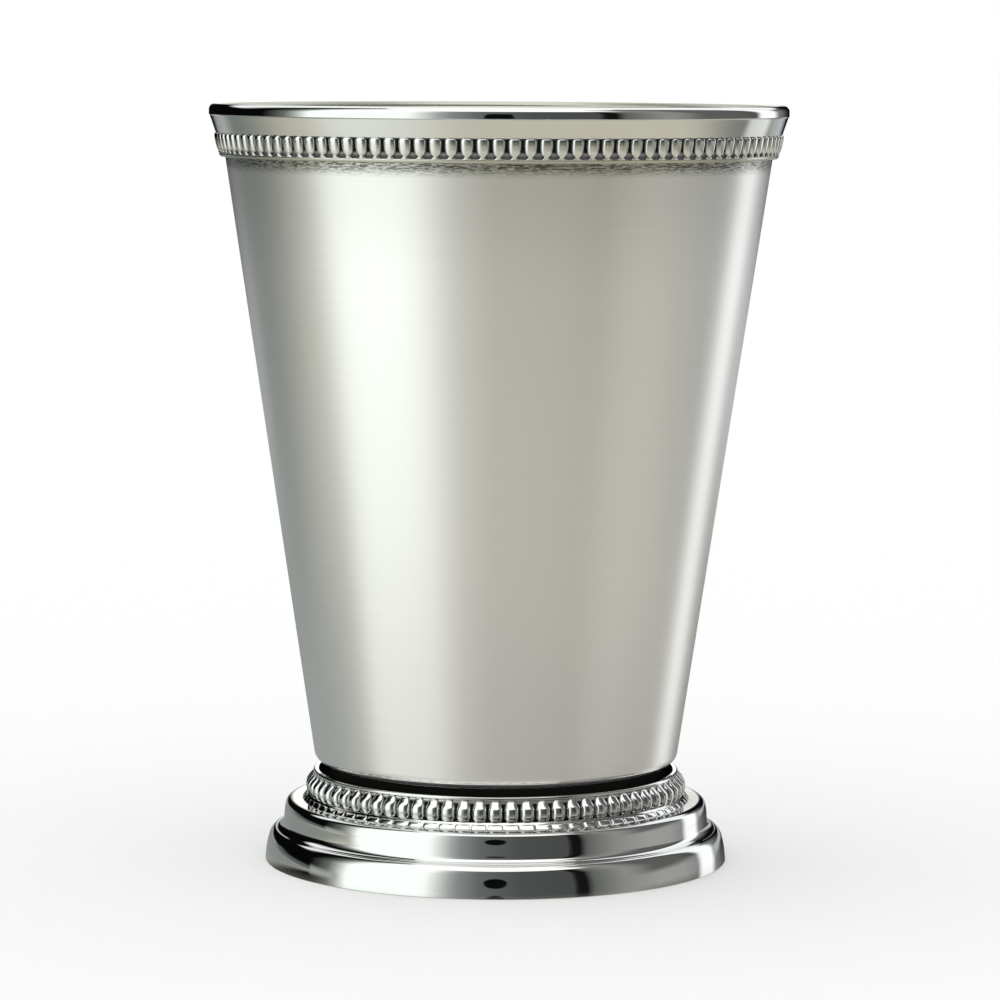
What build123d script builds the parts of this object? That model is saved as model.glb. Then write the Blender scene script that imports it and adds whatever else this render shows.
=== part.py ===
from build123d import *
from math import atan2, cos, degrees, pi, radians, sin, sqrt
import os

# A julep cup: a tapered satin cup on a stepped polished foot, with a beaded band round its mouth.
# Millimetres, +Z up, origin at the centre of the circle that the foot stands on.

# Overall sizes
overall_height = 108.0
mouth_diameter = 82.2
foot_diameter = 66.2

# Cup body: one sheet of metal, drawn into a tapered shell with a flat floor
body_wall = 0.8
body_floor_diameter = 51.7
body_heel_radius = 2.5

# Rim band, from its lip down: heights of its stretches and how far each stands off the body
lip_height = 1.5
lip_proud = 1.3
lip_over_edge = 0.7
lip_overhang = 0.1
lip_round = 0.6
lip_leg_height = 1.8
lip_leg_thickness = 0.4
fascia_height = 2.55
fascia_foot_proud = 0.85
channel_height = 2.85
channel_web = 0.2
flange_height = 0.55
flange_proud = 0.75
flange_bevel = 0.3

# Rim beading: a wire with a row of drop-shaped beads, thick end up
rim_bead_count = 117
rim_bead_width = 1.66
rim_bead_height = 0.78
rim_bead_tip_width = 0.6
rim_bead_top_width = 0.9
rim_bead_shoulder = 0.75
rim_wire_back = 0.15

# Foot, from the table up: two rounded steps, a collar with a lip, and a groove under the cup
foot_wall = 0.9
lower_step_height = 4.55
lower_step_round = 2.3
lower_step_draft = 0.2
upper_step_height = 4.15
upper_step_round = 2.6
step_tread = 2.75
least_ledge = 0.2
collar_height = 4.3
collar_lip_width = 0.85
collar_lip_height = 0.45
collar_lip_bevel = 0.25
collar_lip_proud = 0.35
groove_width = 1.7
groove_depth = 0.85
groove_height = 0.95
seat_flange_width = 5.7

# Foot beading: a wire with a row of bullet-shaped beads, thick end down
foot_bead_count = 75
foot_bead_width = 1.9
foot_bead_height = 1.24
foot_bead_top_width = 1.1
foot_bead_foot_width = 1.7
foot_bead_shoulder = 1.2
foot_wire_back = 0.25

# Flats across one bead of either wire
bead_flats = 3

# Joints
solder_film = 0.05
foot_solder_thickness = 0.2
foot_solder_margin = 0.8

# Heights that stack up from the table
upper_step_top = lower_step_height + upper_step_height
collar_top = upper_step_top + collar_height
floor_bottom = collar_top + groove_height
body_mouth_height = overall_height - lip_over_edge

# Outside of the body: a cone from the floor to the mouth edge
body_floor_radius = body_floor_diameter / 2
body_mouth_radius = mouth_diameter / 2 - lip_proud
body_taper = (body_mouth_radius - body_floor_radius) / (body_mouth_height - floor_bottom)
body_lean = degrees(atan2(body_mouth_radius - body_floor_radius, body_mouth_height - floor_bottom))


def body_radius(z):
    """Outside radius of the body's cone at a height."""
    return body_floor_radius + body_taper * (z - floor_bottom)


def ring_of(section):
    """Turn a section, drawn as radius and height, round the cup's axis."""
    return revolve(Plane.XZ * section, Axis.Z)


def rounded(section, corners):
    """Round corners of a section, each given by its place and radius."""
    for place, radius in corners:
        section = fillet(section.vertices().sort_by_distance(place)[0], radius)
    return section


def bevelled(section, corners):
    """Cut corners off a section, each given by its place and the length cut."""
    for place, length in corners:
        section = chamfer(section.vertices().sort_by_distance(place)[0], length)
    return section


def beaded_outline(count, radius, width, height, z):
    """Outline of a beaded wire at one height: a half-round of flats for each bead, a flat between beads."""
    points = []
    for i in range(count):
        for j in range(bead_flats + 1):
            across = pi * j / bead_flats
            corner = Vector(radius + height * sin(across), -width / 2 * cos(across))
            points.append(corner.rotate(Axis.Z, 360 * i / count))
    return Pos(0, 0, z) * make_face(Polyline(*points, close=True))


# Cup body: the outside line of floor, heel and wall, thickened inwards by the sheet
body_line = FilletPolyline(
    (0, floor_bottom),
    (body_floor_radius, floor_bottom),
    (body_mouth_radius, body_mouth_height),
    radius=body_heel_radius,
)
body_section = make_face(offset(body_line, amount=body_wall, side=Side.LEFT))
cup_body = ring_of(body_section)

# Rim band: profiled strip, hooked over the mouth edge, with a channel for the beading
flange_bottom = overall_height - lip_height - fascia_height - channel_height - flange_height
channel_bottom = flange_bottom + flange_height
channel_top = channel_bottom + channel_height
lip_bottom = overall_height - lip_height
lip_radius = mouth_diameter / 2
edge_rise = body_wall * sin(radians(body_lean))
hook_top = body_mouth_height + edge_rise + solder_film
leg_bottom = overall_height - lip_leg_height
sheet_across = body_wall / cos(radians(body_lean))
leg_outer = body_radius(leg_bottom) - sheet_across - solder_film
leg_inner = leg_outer - lip_leg_thickness


def behind_band(z):
    """Radius of the band's inner face, one film of solder off the body."""
    return body_radius(z) + solder_film


flange_corner = (body_radius(flange_bottom) + flange_proud, flange_bottom)
lip_outer_corner = (lip_radius, overall_height)
lip_inner_corner = (leg_inner, overall_height)
band_outline = Polyline(
    (behind_band(flange_bottom), flange_bottom),
    flange_corner,
    (body_radius(channel_bottom) + flange_proud, channel_bottom),
    (behind_band(channel_bottom) + channel_web, channel_bottom),
    (behind_band(channel_top) + channel_web, channel_top),
    (body_radius(channel_top) + fascia_foot_proud, channel_top),
    (lip_radius - lip_overhang, lip_bottom),
    (lip_radius, lip_bottom + lip_overhang),
    lip_outer_corner,
    lip_inner_corner,
    (leg_inner, leg_bottom),
    (leg_outer, leg_bottom),
    (leg_outer + body_taper * (hook_top - leg_bottom), hook_top),
    (behind_band(hook_top), hook_top),
    close=True,
)
band_section = rounded(
    make_face(band_outline),
    [(lip_outer_corner, lip_round), (lip_inner_corner, lip_round)],
)
band_section = bevelled(band_section, [(flange_corner, flange_bevel)])
rim_band = ring_of(band_section)

# Rim beading: lies in the channel, leans with the body and swells towards the top


def behind_wire(z):
    """Radius of the wire's inner face, one film of solder off the channel."""
    return behind_band(z) + channel_web + solder_film


wire_bottom = channel_bottom + solder_film
wire_top = channel_top - solder_film
wire_shoulder = wire_top - rim_bead_shoulder
rim_bead_form = rim_bead_height / rim_bead_width
rim_wire_outlines = [
    beaded_outline(rim_bead_count, behind_wire(z) + rim_wire_back, width, rim_bead_form * width, z)
    for z, width in (
        (wire_bottom, rim_bead_tip_width),
        (wire_shoulder, rim_bead_width),
        (wire_top, rim_bead_top_width),
    )
]
rim_wire_core = ring_of(
    make_face(
        Polyline(
            (0, wire_bottom),
            (behind_wire(wire_bottom), wire_bottom),
            (behind_wire(wire_top), wire_top),
            (0, wire_top),
            close=True,
        )
    )
)
rim_bead_wire = loft(rim_wire_outlines, ruled=True) - rim_wire_core

# Foot: hollow below, with a seat flange that carries the floor of the cup
foot_radius = foot_diameter / 2
lower_face_radius = foot_radius - lower_step_draft
upper_face_radius = foot_radius - step_tread
floor_flat_radius = body_line.vertices().sort_by(Axis.Y)[:2].sort_by(Axis.X)[-1].X
neck_radius = floor_flat_radius
lip_inner_radius = neck_radius + groove_width
lip_outer_radius = lip_inner_radius + collar_lip_width
collar_radius = lip_outer_radius - collar_lip_proud
lip_underside = collar_top - collar_lip_height
groove_floor = collar_top - groove_depth
seat_top = floor_bottom - foot_solder_thickness
seat_inner_radius = neck_radius - seat_flange_width


def round_on(wanted, tread, rise):
    """Round of a step's edge, limited so that it leaves a ledge on its tread and on its face."""
    return min(wanted, tread - least_ledge, rise - least_ledge)


def bevel_inside(outer_round):
    """Bevel of an inner corner that touches the round one wall inside the outer round."""
    return (outer_round - foot_wall) * (2 - sqrt(2))


lower_round = round_on(lower_step_round, lower_face_radius - upper_face_radius, lower_step_height)
upper_round = round_on(upper_step_round, upper_face_radius - collar_radius, upper_step_height)
lower_corner = (lower_face_radius, lower_step_height)
upper_corner = (upper_face_radius, upper_step_top)
collar_lip_corner = (lip_outer_radius, collar_top)
lower_hollow_corner = (lower_face_radius - foot_wall, lower_step_height - foot_wall)
upper_hollow_corner = (upper_face_radius - foot_wall, upper_step_top - foot_wall)
foot_outline = Polyline(
    (foot_radius, 0),
    lower_corner,
    (upper_face_radius, lower_step_height),
    upper_corner,
    (collar_radius, upper_step_top),
    (collar_radius, lip_underside),
    (lip_outer_radius, lip_underside),
    collar_lip_corner,
    (lip_inner_radius, collar_top),
    (lip_inner_radius, groove_floor),
    (neck_radius, groove_floor),
    (neck_radius, seat_top),
    (seat_inner_radius, seat_top),
    (seat_inner_radius, seat_top - foot_wall),
    (neck_radius - foot_wall, seat_top - foot_wall),
    (neck_radius - foot_wall, upper_step_top - foot_wall),
    upper_hollow_corner,
    (upper_face_radius - foot_wall, lower_step_height - foot_wall),
    lower_hollow_corner,
    (lower_face_radius - foot_wall, 0),
    close=True,
)
foot_section = rounded(
    make_face(foot_outline),
    [(lower_corner, lower_round), (upper_corner, upper_round)],
)
foot_section = bevelled(
    foot_section,
    [
        (collar_lip_corner, collar_lip_bevel),
        (lower_hollow_corner, bevel_inside(lower_round)),
        (upper_hollow_corner, bevel_inside(upper_round)),
    ],
)
foot = ring_of(foot_section)

# Foot beading: stands on the upper step, round the collar and under its lip
foot_wire_inner = collar_radius + solder_film
foot_wire_top = lip_underside - solder_film
foot_bead_form = foot_bead_height / foot_bead_width
foot_wire_outlines = [
    beaded_outline(foot_bead_count, foot_wire_inner + foot_wire_back, width, foot_bead_form * width, z)
    for z, width in (
        (upper_step_top, foot_bead_foot_width),
        (foot_wire_top - foot_bead_shoulder, foot_bead_width),
        (foot_wire_top, foot_bead_top_width),
    )
]
foot_wire_core = Pos(0, 0, upper_step_top) * extrude(Circle(foot_wire_inner), foot_wire_top - upper_step_top)
foot_bead_wire = loft(foot_wire_outlines, ruled=True) - foot_wire_core

# Solder ring: flat, between the seat flange and the underside of the floor
solder_outer = neck_radius - foot_solder_margin
solder_inner = seat_inner_radius + foot_solder_margin
solder_face = Circle(solder_outer) - Circle(solder_inner)
foot_solder_ring = Pos(0, 0, seat_top) * extrude(solder_face, foot_solder_thickness)

nodes = {
    "cup_body": cup_body,
    "rim_band": rim_band,
    "rim_bead_wire": rim_bead_wire,
    "foot": foot,
    "foot_bead_wire": foot_bead_wire,
    "foot_solder_ring": foot_solder_ring,
}
os.makedirs("parts", exist_ok=True)
for name, shape in nodes.items():
    export_step(shape, f"parts/{name}.step")
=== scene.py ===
import bmesh
import bpy
from math import pi, radians
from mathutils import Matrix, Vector


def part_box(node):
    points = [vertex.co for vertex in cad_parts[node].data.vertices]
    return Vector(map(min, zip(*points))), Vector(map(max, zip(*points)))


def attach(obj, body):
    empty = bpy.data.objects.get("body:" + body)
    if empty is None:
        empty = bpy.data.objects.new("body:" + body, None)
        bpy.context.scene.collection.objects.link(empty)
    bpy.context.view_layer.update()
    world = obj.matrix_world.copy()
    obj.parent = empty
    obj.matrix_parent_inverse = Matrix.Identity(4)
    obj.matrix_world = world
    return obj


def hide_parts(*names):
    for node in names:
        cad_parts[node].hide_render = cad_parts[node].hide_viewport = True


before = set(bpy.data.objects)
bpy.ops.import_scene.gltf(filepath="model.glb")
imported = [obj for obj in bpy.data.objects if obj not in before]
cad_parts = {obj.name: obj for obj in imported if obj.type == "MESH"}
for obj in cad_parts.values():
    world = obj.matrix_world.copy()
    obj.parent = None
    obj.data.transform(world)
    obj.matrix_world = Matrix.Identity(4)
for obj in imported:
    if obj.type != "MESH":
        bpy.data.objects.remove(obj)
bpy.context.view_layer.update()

# Cup body: one sheet of metal, drawn into a tapered shell with a closed floor.
# It is brushed round and round on a lathe to a satin finish, and stands on the seat flange of the foot.
mm = 0.001
hair = 0.0001 * mm
turn_steps = 240
arc_steps = 7
body_low, body_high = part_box("cup_body")
body_wall = 0.8 * mm
body_edge_rise = 0.118 * mm
body_floor_radius = 25.85 * mm
body_inner_floor_radius = 25.16 * mm
body_heel = 1.6 * mm
body_inner_heel = 1.0 * mm


def pick(piece, place):
    """Select the vertices of a mesh in edit mode that lie at a place."""
    bpy.ops.mesh.select_all(action="DESELECT")
    mesh = bmesh.from_edit_mesh(piece.data)
    for vertex in mesh.verts:
        vertex.select_set((vertex.co - place).length < 10 * hair)
    bmesh.update_edit_mesh(piece.data)


def turned(name, corners):
    """Draw a section corner by corner as radius, height and round, round its corners and spin it."""
    places = [Vector((radius, 0, height)) for radius, height, _ in corners]
    bpy.ops.object.select_all(action="DESELECT")
    bpy.ops.mesh.primitive_plane_add(size=mm)
    piece = bpy.context.object
    piece.name = name
    bpy.ops.object.mode_set(mode="EDIT")
    bpy.ops.mesh.merge(type="CENTER")
    bpy.ops.transform.translate(value=places[0])
    for here, there in zip(places, places[1:]):
        bpy.ops.mesh.extrude_region_move(TRANSFORM_OT_translate={"value": there - here})
    if places[-1].x > 0:
        bpy.ops.mesh.extrude_region_move(TRANSFORM_OT_translate={"value": places[0] - places[-1]})
    bpy.ops.mesh.select_all(action="SELECT")
    bpy.ops.mesh.remove_doubles(threshold=hair)
    for place, (_, _, rounding) in zip(places, corners):
        if rounding:
            pick(piece, place)
            bpy.ops.mesh.bevel(offset=rounding, offset_type="OFFSET", segments=arc_steps, affect="VERTICES")
    bpy.ops.mesh.select_all(action="SELECT")
    bpy.ops.mesh.spin(steps=turn_steps, angle=2 * pi, center=(0, 0, 0), axis=(0, 0, 1))
    bpy.ops.mesh.select_all(action="SELECT")
    bpy.ops.mesh.remove_doubles(threshold=hair)
    bpy.ops.mesh.normals_make_consistent(inside=False)
    bpy.ops.object.mode_set(mode="OBJECT")
    bpy.ops.object.shade_smooth_by_angle(angle=radians(35))
    return piece


class Wire:
    """An output of a material's nodes. Sums written on it add Math nodes."""

    def __init__(self, tree, socket=None):
        self.tree = tree
        self.socket = socket

    def node(self, kind, settings=(), inputs=(), output=0):
        """Add a node with its settings and the values or links of its inputs, and give one output."""
        made = self.tree.nodes.new(kind)
        for name, value in dict(settings).items():
            if name == "stops":
                ramp = made.color_ramp.elements
                while len(ramp) < len(value):
                    ramp.new(1.0)
                for element, (position, colour) in zip(ramp, value):
                    element.position = position
                    element.color = colour
            else:
                setattr(made, name, value)
        for name, value in dict(inputs).items():
            if isinstance(value, Wire):
                self.tree.links.new(value.socket, made.inputs[name])
            else:
                made.inputs[name].default_value = value
        return Wire(self.tree, made.outputs[output] if made.outputs else None)

    def math(self, operation, *values):
        return self.node("ShaderNodeMath", {"operation": operation}, dict(enumerate(values)))

    def __add__(self, other):
        return self.math("ADD", self, other)

    def __sub__(self, other):
        return self.math("SUBTRACT", self, other)

    def __rsub__(self, other):
        return self.math("SUBTRACT", other, self)

    def __mul__(self, other):
        return self.math("MULTIPLY", self, other)

    __radd__ = __add__
    __rmul__ = __mul__


def finish(name):
    """A new material with nothing in it yet, and a wire to add its nodes with."""
    material = bpy.data.materials.new(name)
    material.use_nodes = True
    material.node_tree.nodes.clear()
    return material, Wire(material.node_tree)


def show(shader):
    """Lead a shader to the surface of its material."""
    shader.node("ShaderNodeOutputMaterial", inputs={"Surface": shader})


def wear(piece, material):
    """Give a piece its material."""
    piece.data.materials.clear()
    piece.data.materials.append(material)


def marks(wire, scale, **settings):
    """Noise on the piece's own coordinates, scaled along each axis: long marks lie along a small scale."""
    place = wire.node("ShaderNodeTexCoord", output="Object")
    stretched = wire.node("ShaderNodeMapping", inputs={"Vector": place, "Scale": scale})
    return wire.node("ShaderNodeTexNoise", inputs={"Vector": stretched, "Scale": 1.0, **settings})


def round_the_cup(wire):
    """Where a place lies: its bearing from the front, its distance from the axis and its height."""
    place = wire.node("ShaderNodeTexCoord", output="Object")
    across, along, height = (
        wire.node("ShaderNodeSeparateXYZ", inputs={"Vector": place}, output=axis) for axis in "XYZ"
    )
    bearing = wire.math("ARCTAN2", across, along * -1.0)
    distance = wire.math("SQRT", across * across + along * along)
    return bearing, distance, height


def fade(value, start, end):
    """A smooth step from 0 at the start to 1 at the end."""
    return value.node(
        "ShaderNodeMapRange",
        {"interpolation_type": "SMOOTHSTEP"},
        {"Value": value, "From Min": start, "From Max": end},
    )


def blend(share, under, over):
    """One colour laid over another by a share from 0 to 1."""
    return share.node(
        "ShaderNodeMix", {"data_type": "RGBA"}, {"Factor": share, 6: under, 7: over}, output=2
    )


cup_body = turned(
    "satin_cup_body",
    [
        (0, body_low.z, 0),
        (body_floor_radius, body_low.z, body_heel),
        (body_high.x, body_high.z - body_edge_rise, 0),
        (body_high.x - body_wall, body_high.z, 0),
        (body_inner_floor_radius, body_low.z + body_wall, body_inner_heel),
        (0, body_low.z + body_wall, 0),
    ],
)

satin_dark = (0.88, 0.88, 0.87, 1)
satin_bright = (0.95, 0.95, 0.94, 1)
satin_roughness = 0.36
heel_shine = 0.26
# Painted shade and reflection: just under the rim band the body is coloured dark in fine streaks, as the
# band shades it and is mirrored in it.
under_band_shade_colour = (0.13, 0.135, 0.10, 1)
under_band_shade_low = 98.3 * mm
under_band_shade_full = 100.2 * mm
# Painted shade: the body's colour grows darker towards the top, under the band.
top_shade_share = 0.12
top_shade_low = 82 * mm
top_shade_full = 99 * mm

satin, wire = finish("satin_brushed_metal")
lathe_marks = marks(wire, (25, 25, 5200), Detail=3.0, Roughness=0.6)
broad_marks = marks(wire, (14, 14, 700), Detail=2.0)
streaks = fade(marks(wire, (900, 900, 7600), Detail=2.0, Distortion=0.8), 0.46, 0.54)
_, radius, height = round_the_cup(wire)
body_taper = (body_high.x - body_floor_radius) / (body_high.z - body_edge_rise - body_low.z)
off_taper = radius - (height - body_low.z) * body_taper
outside = fade(off_taper, body_floor_radius - 0.6 * mm, body_floor_radius - 0.3 * mm)
# Painted shade and reflection under the band, broken into fine streaks.
under_band_shade = fade(height, under_band_shade_low, under_band_shade_full) * (0.34 + 0.6 * streaks)
# Painted shade: darker towards the top of the body.
top_shade = top_shade_share * fade(height, top_shade_low, top_shade_full)
satin_colour = blend(outside * (top_shade + under_band_shade), blend(lathe_marks, satin_dark, satin_bright), under_band_shade_colour)
heel_polish = fade(height, body_low.z + 1.3 * mm, body_low.z + 0.8 * mm)
satin_bump = wire.node(
    "ShaderNodeBump",
    inputs={"Strength": 0.06, "Distance": 0.05 * mm, "Height": lathe_marks + broad_marks},
)
satin_shader = wire.node(
    "ShaderNodeBsdfPrincipled",
    inputs={
        "Base Color": satin_colour,
        "Metallic": 0.9,
        "Roughness": satin_roughness + (lathe_marks - 0.5) * 0.08 - heel_polish * heel_shine,
        "Anisotropic": 0.75,
        "Anisotropic Rotation": 0.25,
        "Normal": satin_bump,
    },
)
show(satin_shader)
wear(cup_body, satin)
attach(cup_body, "root")
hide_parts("cup_body")

# Rim band: a profiled strip of metal bent into a ring and soldered round the mouth.
# Its top is rolled over the edge of the body; below the lip are a flared face, a channel and a flange.
# It is mirror polished.
band_low, band_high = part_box("rim_band")
lip_radius = band_high.x
lip_inner_radius = 38.38 * mm
lip_leg_radius = 38.78 * mm
lip_leg_lean = 0.19 * mm
lip_leg_bottom = band_high.z - 1.8 * mm
lip_bottom = band_high.z - 1.62 * mm
lip_round = 0.86 * mm
lip_bevel_radius = 39.55 * mm
lip_bevel_bottom = band_high.z - 1.4 * mm
band_back_low = 38.85 * mm
band_back_high = 39.88 * mm
hook_top = body_high.z + 0.05 * mm
flange_foot_radius = 39.52 * mm
flange_radius = 39.72 * mm
flange_top = band_low.z + 0.55 * mm
flange_round = 0.24 * mm
channel_low_radius = 39.15 * mm
channel_high_radius = 39.50 * mm
channel_top = band_low.z + 3.32 * mm
fascia_foot_radius = 40.12 * mm
fascia_top_radius = 40.98 * mm

rim_band = turned(
    "polished_rim_band",
    [
        (band_back_low, band_low.z, 0),
        (flange_foot_radius, band_low.z, 0.12 * mm),
        (flange_radius, flange_top, flange_round),
        (channel_low_radius, flange_top + 0.1 * mm, 0.1 * mm),
        (channel_high_radius, channel_top, 0),
        (fascia_foot_radius, channel_top, 0.1 * mm),
        (fascia_top_radius, lip_bottom, 0.12 * mm),
        (lip_radius, lip_bottom + 0.1 * mm, 0.05 * mm),
        (lip_radius, band_high.z, lip_round),
        (lip_bevel_radius, band_high.z, 0.3 * mm),
        (lip_inner_radius, lip_bevel_bottom, 0.1 * mm),
        (lip_inner_radius, lip_leg_bottom, 0),
        (lip_leg_radius, lip_leg_bottom, 0),
        (lip_leg_radius + lip_leg_lean, hook_top, 0),
        (band_back_high, hook_top, 0),
    ],
)

polish_dark = (0.685, 0.69, 0.68, 1)
polish_bright = (0.715, 0.72, 0.71, 1)
recess_shade_black = (0.012, 0.013, 0.011, 1)
recess_roughness = 0.6
# Inside of the lip: left brushed and rougher, and given a darker cream colour as painted shade on what it
# mirrors.
brushed_shade_grey = (0.5, 0.49, 0.42, 1)
brushed_roughness = 0.32


def polished(name, shaded_hollows=None, brushed=None):
    """A mirror polish with faint buffing marks, with painted shade in its hollows, and satin where it is
    left brushed, with a darker painted shade there.
    """
    material, wire = finish(name)
    buff_marks = marks(wire, (40, 40, 2600), Detail=3.0)
    waves = marks(wire, (90, 90, 90), Detail=1.0)
    _, radius, height = round_the_cup(wire)
    colour = blend(buff_marks, polish_dark, polish_bright)
    roughness = 0.02 + buff_marks * 0.04
    metallic = 1.0
    # Painted shade: a hollow is coloured near black, made matt and not metal.
    if shaded_hollows:
        depth = shaded_hollows(radius, height)
        colour = blend(depth, colour, recess_shade_black)
        roughness = roughness + depth * recess_roughness
        metallic = 1.0 - depth
    # Painted shade: where it is left brushed, the colour is darker and creamier, dimming its reflection.
    if brushed:
        share = brushed(radius)
        colour = blend(share, colour, brushed_shade_grey)
        roughness = roughness + share * brushed_roughness
    bump = wire.node(
        "ShaderNodeBump",
        inputs={"Strength": 0.3, "Distance": 0.02 * mm, "Height": buff_marks * 0.02 + waves},
    )
    shader = wire.node(
        "ShaderNodeBsdfPrincipled",
        inputs={
            "Base Color": colour,
            "Metallic": metallic,
            "Roughness": roughness,
            "Specular IOR Level": 0.0,
            "Normal": bump,
        },
    )
    show(shader)
    return material


def inside_of_lip(radius):
    """Where the lip turns down into the cup."""
    return fade(radius, lip_bevel_radius + 0.2 * mm, lip_bevel_radius)


wear(rim_band, polished("polished_rim_metal", brushed=inside_of_lip))
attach(rim_band, "root")
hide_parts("rim_band")

# Rim beading: a wire with a row of drop-shaped beads, rolled between dies, fat end up.
# It lies in the channel of the band, soldered at its back, and is polished with it.
rim_bead_count = 117
rim_wire_low = 101.15 * mm
rim_wire_high = 103.85 * mm
rim_wire_low_radius = 39.27 * mm
rim_wire_high_radius = 39.62 * mm
rim_wire_lean = (rim_wire_high_radius - rim_wire_low_radius) / (rim_wire_high - rim_wire_low)
rim_wire_depth = 0.1 * mm
bead_sink = 0.08 * mm
bead_corner = 0.75
bead_arc_steps = 4


def bead(levels, back_radius):
    """One bead at the front of the cup, from half-round sections.

    A section is given in millimetres as its height, its half width and the radius of its crest.
    """
    sections = [[size * mm for size in level] for level in levels]
    bpy.ops.object.select_all(action="DESELECT")
    bpy.ops.mesh.primitive_plane_add(size=2, enter_editmode=True)
    bpy.ops.mesh.bevel(offset=bead_corner, offset_type="OFFSET", segments=bead_arc_steps, affect="VERTICES")
    bpy.ops.mesh.select_all(action="SELECT")
    bpy.ops.mesh.bisect(plane_co=(0, 0, 0), plane_no=(0, 1, 0), clear_outer=True)
    bpy.ops.mesh.select_all(action="SELECT")
    height, half_width, crest = sections[0]
    back = back_radius(height) - bead_sink
    depth = crest - back
    bpy.ops.transform.resize(value=(half_width, depth, 1), center_override=(0, 0, 0))
    bpy.ops.transform.translate(value=(0, -back, height))
    for new_height, new_half_width, new_crest in sections[1:]:
        new_back = back_radius(new_height) - bead_sink
        new_depth = new_crest - new_back
        bpy.ops.mesh.extrude_region_move(
            TRANSFORM_OT_translate={"value": (0, back - new_back, new_height - height)}
        )
        bpy.ops.transform.resize(
            value=(new_half_width / half_width, new_depth / depth, 1),
            center_override=(0, -new_back, new_height),
        )
        height, half_width, back, depth = new_height, new_half_width, new_back, new_depth
    bpy.ops.mesh.select_all(action="SELECT")
    bpy.ops.mesh.normals_make_consistent(inside=False)
    return bpy.context.object


def bead_row(levels, back_radius, count):
    """A bead copied round the cup."""
    row = bead(levels, back_radius)
    bpy.ops.mesh.spin(
        steps=count - 1, dupli=True, angle=2 * pi * (count - 1) / count, center=(0, 0, 0), axis=(0, 0, 1)
    )
    bpy.ops.object.mode_set(mode="OBJECT")
    bpy.ops.object.shade_smooth_by_angle(angle=radians(80))
    return row


def joined(name, *pieces):
    """Join meshes into one piece."""
    bpy.ops.object.select_all(action="DESELECT")
    for piece in pieces:
        piece.select_set(True)
    bpy.context.view_layer.objects.active = pieces[0]
    bpy.ops.object.join()
    pieces[0].name = name
    return pieces[0]


def rim_wire_back(height):
    """Radius of the wire's strip behind the beads."""
    return rim_wire_low_radius + (height - rim_wire_low) * rim_wire_lean


rim_wire_strip = turned(
    "rim_wire_strip",
    [
        (rim_wire_low_radius - rim_wire_depth, rim_wire_low, 0),
        (rim_wire_low_radius, rim_wire_low, 0),
        (rim_wire_high_radius, rim_wire_high, 0),
        (rim_wire_high_radius - rim_wire_depth, rim_wire_high, 0),
    ],
)
rim_beads = bead_row(
    [
        (101.00, 1.02, 39.66),
        (101.14, 0.68, 39.72),
        (101.30, 0.42, 39.76),
        (101.46, 0.32, 39.80),
        (101.60, 0.62, 39.88),
        (101.82, 0.76, 39.99),
        (102.30, 0.84, 40.10),
        (102.90, 0.89, 40.23),
        (103.40, 0.90, 40.31),
        (103.60, 0.88, 40.32),
        (103.76, 0.81, 40.28),
        (103.86, 0.68, 40.21),
    ],
    rim_wire_back,
    rim_bead_count,
)
rim_bead_wire = joined("polished_rim_bead_wire", rim_wire_strip, rim_beads)


def rim_gap_shade(radius, height):
    """Painted shade between the beads of the rim, by how deep a place lies, less where light reaches the
    ends of a gap.
    """
    proud = radius - (height - rim_wire_low) * rim_wire_lean
    deep = fade(proud, rim_wire_low_radius + 0.44 * mm, rim_wire_low_radius + 0.12 * mm)
    under_fascia = fade(height, 103.7 * mm, 103.95 * mm)
    web = fade(height, 101.5 * mm, 101.7 * mm) * fade(height, 102.1 * mm, 101.8 * mm)
    low = fade(height, 101.8 * mm, 101.5 * mm)
    return deep * (1.0 - 0.75 * under_fascia - 0.35 * web - 0.15 * low)


wear(rim_bead_wire, polished("polished_rim_beads", rim_gap_shade))
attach(rim_bead_wire, "root")
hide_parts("rim_bead_wire")

# Foot: spun hollow from sheet, with two rounded steps, a collar with a lip, a groove and a seat flange.
# The cup's floor is soldered to the seat flange. Outside it is mirror polished.
foot_low, foot_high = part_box("foot")
foot_radius = foot_high.x
foot_wall = 0.9 * mm
lower_top = 4.55 * mm
lower_face = 32.93 * mm
upper_top = 8.70 * mm
upper_face = 30.33 * mm
cove_round = 1.0 * mm
ledge_top = 9.60 * mm
ledge_radius = 27.65 * mm
collar_radius = 25.8 * mm
collar_top = 13.0 * mm
collar_lip_radius = 26.2 * mm
collar_lip_bottom = collar_top - 0.45 * mm
groove_outer = 25.4 * mm
groove_floor = 11.6 * mm
neck_radius = 23.7 * mm
seat_inner = 18.0 * mm

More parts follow.
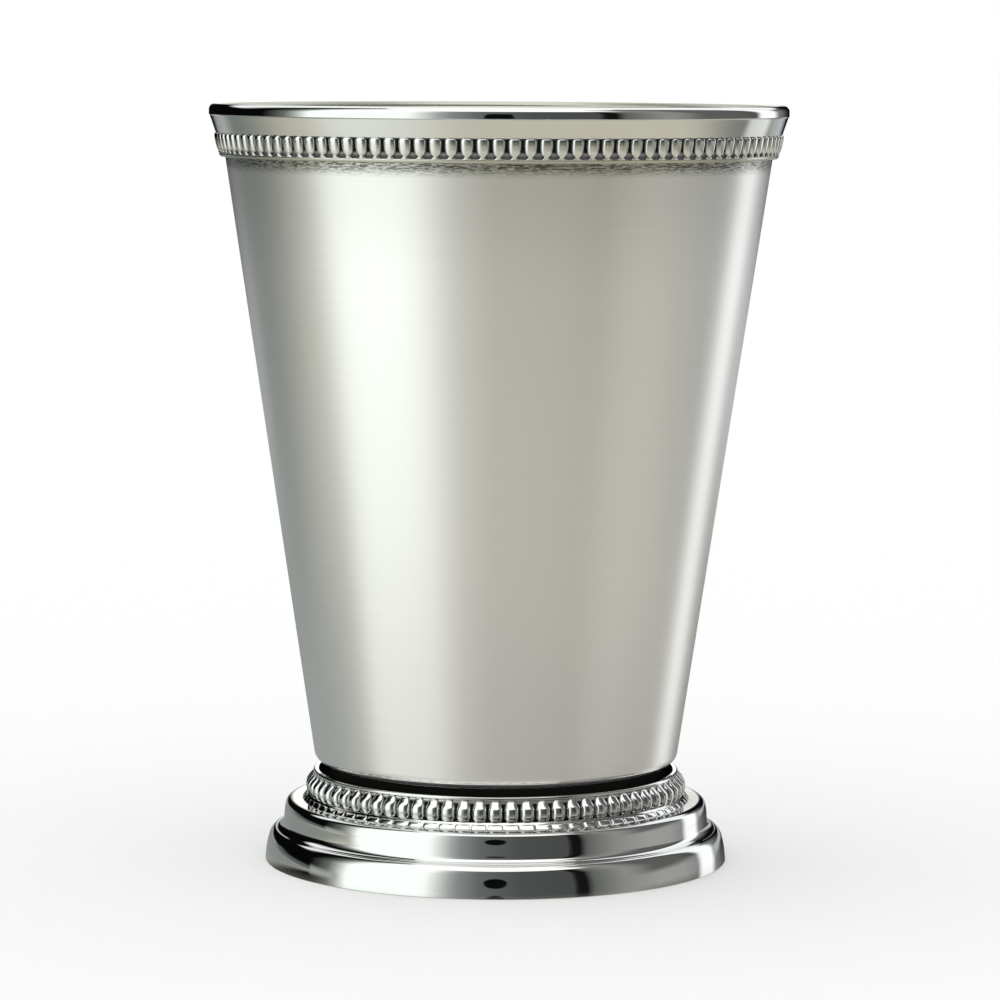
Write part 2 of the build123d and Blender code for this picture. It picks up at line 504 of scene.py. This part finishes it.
foot = turned(
    "polished_foot",
    [
        (foot_radius, foot_low.z, 0.1 * mm),
        (lower_face, 2.05 * mm, 0.9 * mm),
        (lower_face - 0.51 * mm, 3.84 * mm, 0.5 * mm),
        (lower_face - 1.1 * mm, 4.45 * mm, 0.25 * mm),
        (upper_face + 0.16 * mm, lower_top, cove_round),
        (upper_face, 7.3 * mm, 0.53 * mm),
        (upper_face - 0.29 * mm, 8.41 * mm, 0.3 * mm),
        (upper_face - 0.94 * mm, 8.68 * mm, 0.3 * mm),
        (ledge_radius, upper_top + 0.04 * mm, 0.08 * mm),
        (ledge_radius - 0.35 * mm, ledge_top - 0.4 * mm, 0.08 * mm),
        (ledge_radius - 0.7 * mm, ledge_top, 0.05 * mm),
        (collar_radius, ledge_top, 0),
        (collar_radius, collar_lip_bottom, 0),
        (collar_lip_radius, collar_lip_bottom, 0.08 * mm),
        (collar_lip_radius, collar_top, 0.25 * mm),
        (groove_outer, collar_top, 0.2 * mm),
        (groove_outer, groove_floor, 0),
        (neck_radius, groove_floor, 0),
        (neck_radius, foot_high.z, 0),
        (seat_inner, foot_high.z, 0),
        (seat_inner, foot_high.z - foot_wall, 0),
        (neck_radius - foot_wall, foot_high.z - foot_wall, 0),
        (neck_radius - foot_wall, upper_top - foot_wall, 0),
        (upper_face - foot_wall, upper_top - foot_wall, 1.0 * mm),
        (upper_face - foot_wall, lower_top - foot_wall, 0.3 * mm),
        (lower_face - foot_wall, lower_top - foot_wall, 1.2 * mm),
        (lower_face - foot_wall, foot_low.z, 0),
    ],
)


def groove_shade(radius, height):
    """Painted shade in the groove between collar and cup."""
    inside_lip = radius.math("LESS_THAN", radius, groove_outer + 0.06 * mm)
    outside_neck = radius.math("GREATER_THAN", radius, neck_radius - 0.1 * mm)
    above_floor = height.math("GREATER_THAN", height, groove_floor - 0.1 * mm)
    return inside_lip * outside_neck * above_floor


wear(foot, polished("polished_foot_metal", groove_shade))
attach(foot, "root")
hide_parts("foot")

# Foot beading: a second beaded wire, with bullet-shaped beads that curve in towards the lip of the collar.
# It stands on the ledge of the foot, soldered round the collar.
foot_bead_count = 75
foot_wire_low = ledge_top + 0.05 * mm
foot_wire_high = collar_lip_bottom - 0.1 * mm
foot_wire_inner_radius = collar_radius + 0.05 * mm
foot_wire_back_radius = 26.0 * mm
toe_slope = 0.8


def foot_wire_back(height):
    """Radius of the wire's strip behind the beads, the same at every height."""
    return foot_wire_back_radius


def foot_wire_toe(height):
    """Radius behind the small sloping foot of each bead."""
    return ledge_radius - 0.05 * mm - (height - upper_top) * toe_slope


foot_wire_strip = turned(
    "foot_wire_strip",
    [
        (foot_wire_inner_radius, foot_wire_low, 0),
        (foot_wire_back_radius, foot_wire_low, 0),
        (foot_wire_back_radius, foot_wire_high, 0.2 * mm),
        (foot_wire_inner_radius, foot_wire_high, 0),
    ],
)
foot_beads = bead_row(
    [
        (9.60, 0.86, 26.92),
        (9.80, 0.97, 27.07),
        (10.20, 1.02, 27.22),
        (10.55, 1.02, 27.265),
        (10.95, 1.02, 27.26),
        (11.25, 1.00, 27.20),
        (11.54, 0.96, 27.04),
        (11.84, 0.87, 26.76),
        (12.20, 0.72, 26.42),
        (12.60, 0.46, 26.10),
    ],
    foot_wire_back,
    foot_bead_count,
)
foot_bead_feet = bead_row(
    [
        (8.74, 1.08, 27.78),
        (9.00, 1.09, 27.58),
        (9.22, 1.09, 27.38),
        (9.32, 1.05, 27.24),
    ],
    foot_wire_toe,
    foot_bead_count,
)
foot_bead_wire = joined("polished_foot_bead_wire", foot_wire_strip, foot_beads, foot_bead_feet)


def foot_gap_shade(radius, height):
    """Painted shade between the beads of the foot, by how deep a place lies."""
    deep = fade(radius, foot_wire_back_radius + 0.36 * mm, foot_wire_back_radius + 0.06 * mm)
    return deep * fade(height, 12.5 * mm, 11.9 * mm)


wear(foot_bead_wire, polished("polished_foot_beads", foot_gap_shade))
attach(foot_bead_wire, "root")
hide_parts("foot_bead_wire")

# Solder ring: the joint between the seat flange of the foot and the underside of the cup's floor.
# It is left as it froze, grey and a little rippled, and shows only from below.
solder_dark = (0.42, 0.42, 0.40, 1)
solder_bright = (0.60, 0.60, 0.58, 1)
solder, wire = finish("dull_solder")
ripples = marks(wire, (900, 900, 900), Detail=4.0, Roughness=0.6)
solder_bump = wire.node("ShaderNodeBump", inputs={"Strength": 0.3, "Distance": 0.1 * mm, "Height": ripples})
solder_shader = wire.node(
    "ShaderNodeBsdfPrincipled",
    inputs={
        "Base Color": blend(ripples, solder_dark, solder_bright),
        "Metallic": 1.0,
        "Roughness": 0.35 + ripples * 0.3,
        "Normal": solder_bump,
    },
)
show(solder_shader)
wear(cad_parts["foot_solder_ring"], solder)

# Table and sky of the studio: a white table under an even white sky.
# They light the cup softly from all round, and the table keeps its shadow.
white = (1, 1, 1, 1)
bpy.ops.object.select_all(action="DESELECT")
bpy.ops.mesh.primitive_plane_add(size=400)
table = bpy.context.object
table.name = "table"
table_white, wire = finish("table_white")
show(wire.node("ShaderNodeBsdfDiffuse", inputs={"Color": white}))
wear(table, table_white)

sky = bpy.data.worlds.new("white_sky")
sky.use_nodes = True
sky.node_tree.nodes["Background"].inputs["Color"].default_value = white
sky.node_tree.nodes["Background"].inputs["Strength"].default_value = 1.0
bpy.context.scene.world = sky

# Side of the tent: cards hung in a ring round the cup, that only the metal sees.
# A soft box on the left, a strip light on the right and black flags between them draw the cup's edges.
# Each stop is a bearing in degrees from the front, to the right, and the colour of the card there.
tent_radius = 600 * mm
tent_height = 1500 * mm
tent_sides = 128
card_strength = 3.0
black_flag = (0.001, 0.001, 0.001, 1)
blue_black_flag = (0.001, 0.001, 0.002, 1)
back_sheet = (0.48, 0.48, 0.46, 1)
soft_box = (0.465, 0.495, 0.475, 1)
lamp_stand = (0.003, 0.003, 0.003, 1)
strip_light = (0.45, 0.46, 0.46, 1)
cards = [
    (-180, back_sheet),
    (-174, back_sheet),
    (-169, black_flag),
    (-103, black_flag),
    (-97, (0.020, 0.022, 0.019, 1)),
    (-90, (0.062, 0.068, 0.060, 1)),
    (-85, (0.16, 0.17, 0.16, 1)),
    (-81, (0.30, 0.31, 0.30, 1)),
    (-77, soft_box),
    (-38, soft_box),
    (-34, (0.44, 0.455, 0.44, 1)),
    (-28, (0.29, 0.30, 0.29, 1)),
    (-23, (0.17, 0.18, 0.18, 1)),
    (-18, (0.105, 0.112, 0.112, 1)),
    (-8, (0.056, 0.060, 0.060, 1)),
    (13, (0.032, 0.035, 0.034, 1)),
    (38, (0.029, 0.031, 0.030, 1)),
    (40, lamp_stand),
    (45, lamp_stand),
    (49, (0.052, 0.054, 0.051, 1)),
    (66, (0.114, 0.116, 0.112, 1)),
    (88, (0.150, 0.152, 0.146, 1)),
    (106, (0.145, 0.147, 0.142, 1)),
    (118, (0.11, 0.11, 0.11, 1)),
    (123, strip_light),
    (135, strip_light),
    (141, (0.09, 0.09, 0.09, 1)),
    (153, (0.022, 0.022, 0.022, 1)),
    (161, blue_black_flag),
    (171, blue_black_flag),
    (175, back_sheet),
]
lens_turn = radians(5.7)
lens_height = 120 * mm
lens_reach = 76 * mm


def swing(bearing, start, end):
    """A smooth step from 0 at one bearing in degrees to 1 at another."""
    return fade(bearing, radians(start), radians(end))


bpy.ops.object.select_all(action="DESELECT")
bpy.ops.mesh.primitive_cylinder_add(
    vertices=tent_sides,
    radius=tent_radius,
    depth=tent_height,
    location=(0, 0, tent_height / 2),
    end_fill_type="NOTHING",
)
tent = bpy.context.object
tent.name = "tent_side"
bpy.ops.object.transform_apply(location=True)

tent_cards, wire = finish("tent_cards")
bearing, _, height = round_the_cup(wire)
lens_across = bearing * (1 / lens_turn)
lens_up = (height - lens_height) * (1 / lens_reach)
lens = wire.node(
    "ShaderNodeMapRange",
    inputs={"Value": lens_across * lens_across + lens_up * lens_up, "From Min": 1.1, "From Max": 0.85},
)
over_flags = fade(height, 320 * mm, 380 * mm) * swing(bearing, -116, -138)
over_right = fade(height, 260 * mm, 320 * mm) * swing(bearing, 126, 144)
over_front = fade(height, 600 * mm, 680 * mm) * swing(wire.math("ABSOLUTE", bearing), 62, 52)
skirt = fade(height, 37 * mm, 13 * mm) * swing(bearing, -101, -104)
low_left = fade(height, 60 * mm, 10 * mm)
low_card = low_left * swing(bearing, -104, -101) * swing(bearing, -80, -86)
back_card_left = low_left * swing(bearing, -139, -147)
back_card_right = fade(height, 60 * mm, 15 * mm) * swing(bearing, 137, 143)
shadow = swing(bearing, 66, 88) * swing(bearing, 122, 117) * fade(height, 40 * mm, 115 * mm) * 0.68
tent_colour = wire.node(
    "ShaderNodeValToRGB",
    {"stops": [((degree + 180) / 360, colour) for degree, colour in cards]},
    {"Fac": bearing * (0.5 / pi) + 0.5},
)
for share, colour in (
    (over_flags, (0.40, 0.41, 0.40, 1)),
    (over_right, (0.40, 0.41, 0.42, 1)),
    (over_front, (0.50, 0.50, 0.49, 1)),
    (skirt, (0.046, 0.052, 0.049, 1)),
    (low_card, (0.15, 0.158, 0.153, 1)),
    (back_card_left, (0.13, 0.138, 0.136, 1)),
    (back_card_right, (0.18, 0.188, 0.19, 1)),
    (shadow, black_flag),
    (lens, (0.001, 0.002, 0.002, 1)),
):
    tent_colour = blend(share, tent_colour, colour)
show(wire.node("ShaderNodeEmission", inputs={"Color": tent_colour, "Strength": card_strength}))
wear(tent, tent_cards)

# Sheen of the table: the lit table top as the metal sees it, bright by the soft box and dim behind the cup.
# It mirrors the cards at a flat angle, as a glossy white sheet does, and lies a hair above the table.
sheen_height = 0.02 * mm
table_lit = (0.725, 0.694, 0.575, 1)
mirror_least = 0.04


def disc(name, height):
    """A round sheet as wide as the tent."""
    bpy.ops.object.select_all(action="DESELECT")
    bpy.ops.mesh.primitive_circle_add(
        vertices=tent_sides, radius=tent_radius, location=(0, 0, height), fill_type="NGON"
    )
    bpy.context.object.name = name
    return bpy.context.object


table_sheen = disc("table_sheen", sheen_height)
sheen, wire = finish("table_sheen")
bearing, distance, _ = round_the_cup(wire)
left_side = swing(bearing, -68, -90)
glow = swing(bearing, -88, -61) * swing(bearing, -6, -51) * fade(distance, 40 * mm, 200 * mm)
far = 0.75 * fade(distance, 230 * mm, 400 * mm) * swing(bearing, -46, 2)
dim = swing(bearing, -77, -128)
dim_near = swing(bearing, -56, -96) * fade(distance, 200 * mm, 90 * mm)
dusk = swing(bearing, 78, 112) * swing(bearing, 150, 122) * fade(distance, 30 * mm, 260 * mm)
night = 0.7 * swing(bearing, -66, -84) * swing(bearing, -138, -118) * fade(distance, 320 * mm, 520 * mm)
back_left = swing(bearing, -132, -146) * fade(distance, 330 * mm, 450 * mm)
near = 0.75 * fade(distance, 115 * mm, 60 * mm) * (1.0 - left_side)
lit_table = wire.node("ShaderNodeEmission", inputs={"Color": table_lit, "Strength": 1.0})
for share, colour in (
    (glow, (0.95, 0.985, 0.925, 1)),
    (far, (0.25, 0.235, 0.15, 1)),
    (dim, (0.24, 0.27, 0.25, 1)),
    (dim_near, (0.305, 0.33, 0.312, 1)),
    (dusk, (0.38, 0.375, 0.35, 1)),
    (night, (0.03, 0.03, 0.03, 1)),
    (back_left, (0.46, 0.47, 0.46, 1)),
    (near, (0.43, 0.404, 0.37, 1)),
):
    shade = wire.node("ShaderNodeEmission", inputs={"Color": colour, "Strength": 1.0})
    lit_table = wire.node("ShaderNodeMixShader", inputs={"Fac": share, 1: lit_table, 2: shade})
grazing = wire.node("ShaderNodeLayerWeight", inputs={"Blend": 0.5}, output="Facing")
mirroring = wire.node(
    "ShaderNodeMapRange",
    inputs={"Value": grazing, "From Min": 0.47, "From Max": 0.92, "To Min": mirror_least},
)
mirror = wire.node("ShaderNodeBsdfGlossy", inputs={"Color": white, "Roughness": 0.0})
show(
    wire.node(
        "ShaderNodeMixShader", inputs={"Fac": mirroring * (1.0 - left_side), 1: lit_table, 2: mirror}
    )
)
wear(table_sheen, sheen)

# Top of the tent: a white cloth lit evenly from above, that only the metal sees.
# It gives the white lines on the lip, on the beads and on the treads of the foot.
top_strength = 1.5
tent_top = disc("tent_top", tent_height)
top_light, wire = finish("tent_top_light")
show(wire.node("ShaderNodeEmission", inputs={"Color": white, "Strength": top_strength}))
wear(tent_top, top_light)
for card in (tent, tent_top, table_sheen):
    card.visible_camera = False
    card.visible_diffuse = False
    card.visible_transmission = False
    card.visible_volume_scatter = False
    card.visible_shadow = False

# Camera: at the photograph's place, a little above the lip and looking down at the cup, with a long lens.
# The lens is long enough to keep the cup's sides nearly straight, and the camera is rolled a little.
camera_distance = 621.8 * mm
camera_height = 115.2 * mm
camera_right = 0.4 * mm
camera_pitch = radians(5.84)
camera_roll = radians(0.3)
camera_data = bpy.data.cameras.new("camera")
camera_data.sensor_width = 36
camera_data.lens = 157.28
camera_data.clip_start = 0.01
camera = bpy.data.objects.new("camera", camera_data)
camera.rotation_mode = "XYZ"
camera.location = (camera_right, -camera_distance, camera_height)
camera.rotation_euler = (pi / 2 - camera_pitch, 0, 0)
camera.rotation_euler.rotate_axis("Z", camera_roll)
bpy.context.scene.collection.objects.link(camera)
bpy.context.scene.camera = camera
bpy.context.scene.view_settings.view_transform = "Standard"
